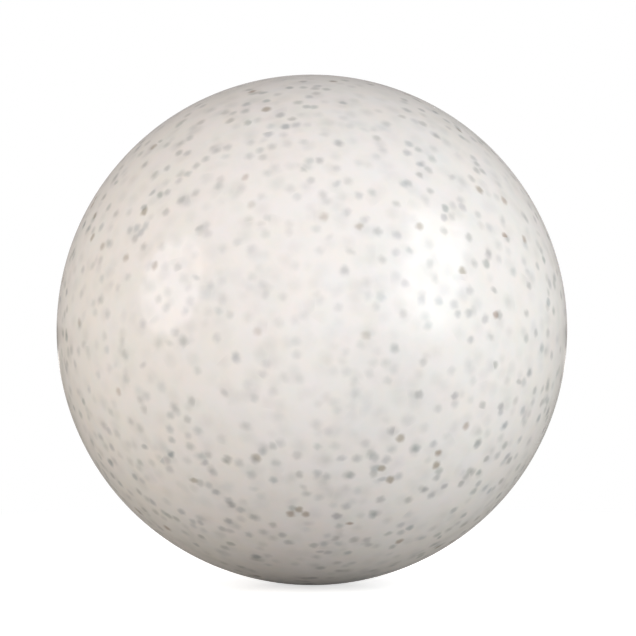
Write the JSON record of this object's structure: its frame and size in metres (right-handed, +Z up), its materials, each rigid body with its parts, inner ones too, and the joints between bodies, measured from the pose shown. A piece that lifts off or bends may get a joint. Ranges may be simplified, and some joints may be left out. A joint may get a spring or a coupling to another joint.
{
  "type": "hockey ball",
  "caption": "Smooth glossy white field hockey ball with glitter flecks: a welded plastic cover over a quilted centre of cork leaves and wound twine.",
  "frame": {"origin": "centre of the ball", "axes": "+Z up as the ball lies; the cover's weld lies in the XZ plane, with the front half towards -Y and the rear half towards +Y"},
  "size_m": [0.073, 0.073, 0.073],
  "materials": {
    "cover": "glossy milky white PVC with grey and a few bronze glitter flecks in its depth",
    "twine": "natural worsted twine, wound tight",
    "cork": "plain sheet cork",
    "nucleus": "moulded rubber-bonded cork grains"
  },
  "bodies": {
    "root": {"front_cover": "cover", "rear_cover": "cover", "outer_winding": "twine", "outer_cork_leaf_1": "cork", "outer_cork_leaf_2": "cork", "outer_cork_leaf_3": "cork", "outer_cork_leaf_4": "cork", "outer_cork_leaf_5": "cork", "outer_cork_leaf_6": "cork", "outer_cork_leaf_7": "cork", "outer_cork_leaf_8": "cork", "middle_winding": "twine", "inner_cork_leaf_1": "cork", "inner_cork_leaf_2": "cork", "inner_cork_leaf_3": "cork", "inner_cork_leaf_4": "cork", "inner_cork_leaf_5": "cork", "inner_cork_leaf_6": "cork", "inner_winding": "twine", "cork_nucleus": "nucleus"}
  },
  "joints": []
}
